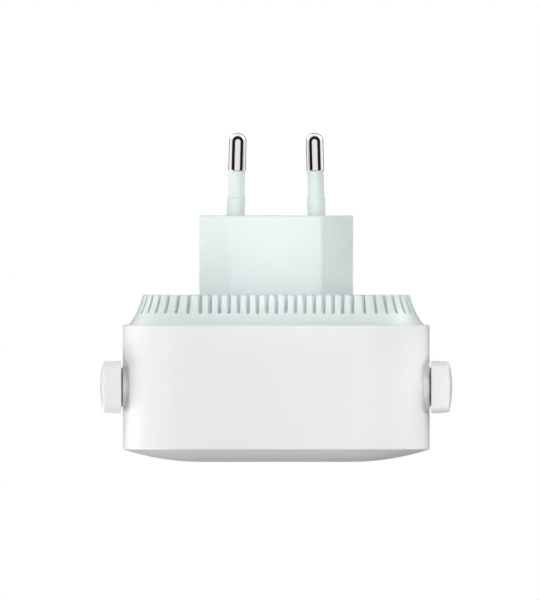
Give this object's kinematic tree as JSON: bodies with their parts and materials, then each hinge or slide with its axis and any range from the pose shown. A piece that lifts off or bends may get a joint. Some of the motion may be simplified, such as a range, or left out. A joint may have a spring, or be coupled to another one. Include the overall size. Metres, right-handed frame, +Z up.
{
  "type": "wifi range extender",
  "caption": "Plug-in wifi range extender: domed rounded-square case with rear vent slots, on a flat mains plug block, with a swivelling paddle antenna on each side.",
  "frame": {"origin": "middle of the plug block's end face, between the pins, where the block stops against the socket", "axes": "+Y out along the plug pins into the wall, +Z up as plugged in, +X to the right seen from the room"},
  "size_m": [0.0812, 0.0758, 0.0798],
  "materials": {
    "case_white": "fine satin white ABS and polycarbonate blend",
    "cover_white": "satin cool-white flame-retardant polycarbonate",
    "sleeve_white": "satin white polyamide moulded on the pins",
    "nickel": "bright nickel-plated brass",
    "board_green": "green solder mask on glass-epoxy laminate",
    "steel": "zinc-plated steel",
    "tinplate": "tin-plated steel sheet",
    "can_sleeve": "aluminium can in a dark shrink sleeve",
    "epoxy_black": "black moulding compound",
    "resistor_grey": "grey-green cement coating",
    "ferrite": "dark ferrite",
    "ceramic_blue": "blue lacquered ceramic disc",
    "tape_yellow": "yellow polyester tape over copper wire",
    "led_yellow": "clear epoxy over phosphor",
    "clear_plastic": "clear polycarbonate",
    "brass_pins": "gold-flashed brass",
    "coax_black": "black fluoropolymer jacket",
    "hinge_grey": "dark grey acetal"
  },
  "bodies": {
    "housing": {"bridge_rectifier": "epoxy_black", "bulk_capacitor": "can_sleeve", "coax_left": "coax_black", "coax_plug_left": "brass_pins", "coax_plug_right": "brass_pins", "coax_right": "coax_black", "crystal": "steel", "emi_choke": "ferrite", "flash_chip": "epoxy_black", "front_shell": "case_white", "fuse_resistor": "resistor_grey", "header_base": "epoxy_black", "header_pins": "brass_pins", "header_socket": "epoxy_black", "hinge_washer_left": "steel", "hinge_washer_right": "steel", "light_pipe": "clear_plastic", "main_board": "board_green", "main_board_screws": "steel", "output_capacitor": "can_sleeve", "pin_left": "nickel", "pin_right": "nickel", "pin_sleeve_left": "sleeve_white", "pin_sleeve_right": "sleeve_white", "plug_block": "cover_white", "power_board": "board_green", "power_board_screws": "steel", "power_controller": "epoxy_black", "rear_cover": "cover_white", "shield_can": "tinplate", "status_led": "led_yellow", "tact_switch": "epoxy_black", "transformer_base": "epoxy_black", "transformer_core": "ferrite", "transformer_winding": "tape_yellow", "wifi_chip": "epoxy_black", "y_capacitor": "ceramic_blue"},
    "left_antenna": {"antenna_board_left": "board_green", "antenna_case_left": "case_white", "antenna_coax_left": "coax_black", "antenna_cover_left": "case_white", "friction_ring_left": "hinge_grey", "hinge_barrel_left": "hinge_grey", "hinge_clip_left": "steel"},
    "right_antenna": {"antenna_board_right": "board_green", "antenna_case_right": "case_white", "antenna_coax_right": "coax_black", "antenna_cover_right": "case_white", "friction_ring_right": "hinge_grey", "hinge_barrel_right": "hinge_grey", "hinge_clip_right": "steel"},
    "pairing_key": {"pairing_button": "case_white", "switch_plunger": "epoxy_black"}
  },
  "joints": [
    {"name": "left_antenna_hinge", "type": "hinge", "parent": "housing", "child": "left_antenna", "pos_m": [0, -0.03955, -0.0183], "axis": [1, 0, 0], "range_deg": [0, 180]},
    {"name": "right_antenna_hinge", "type": "hinge", "parent": "housing", "child": "right_antenna", "pos_m": [0, -0.03955, -0.0183], "axis": [1, 0, 0], "range_deg": [0, 180]},
    {"name": "pairing_key_press", "type": "slide", "parent": "housing", "child": "pairing_key", "axis": [0, 0, -1], "range_m": [0, 0.0004], "stiffness_N_per_m": 400, "springref_m": -0.001}
  ]
}
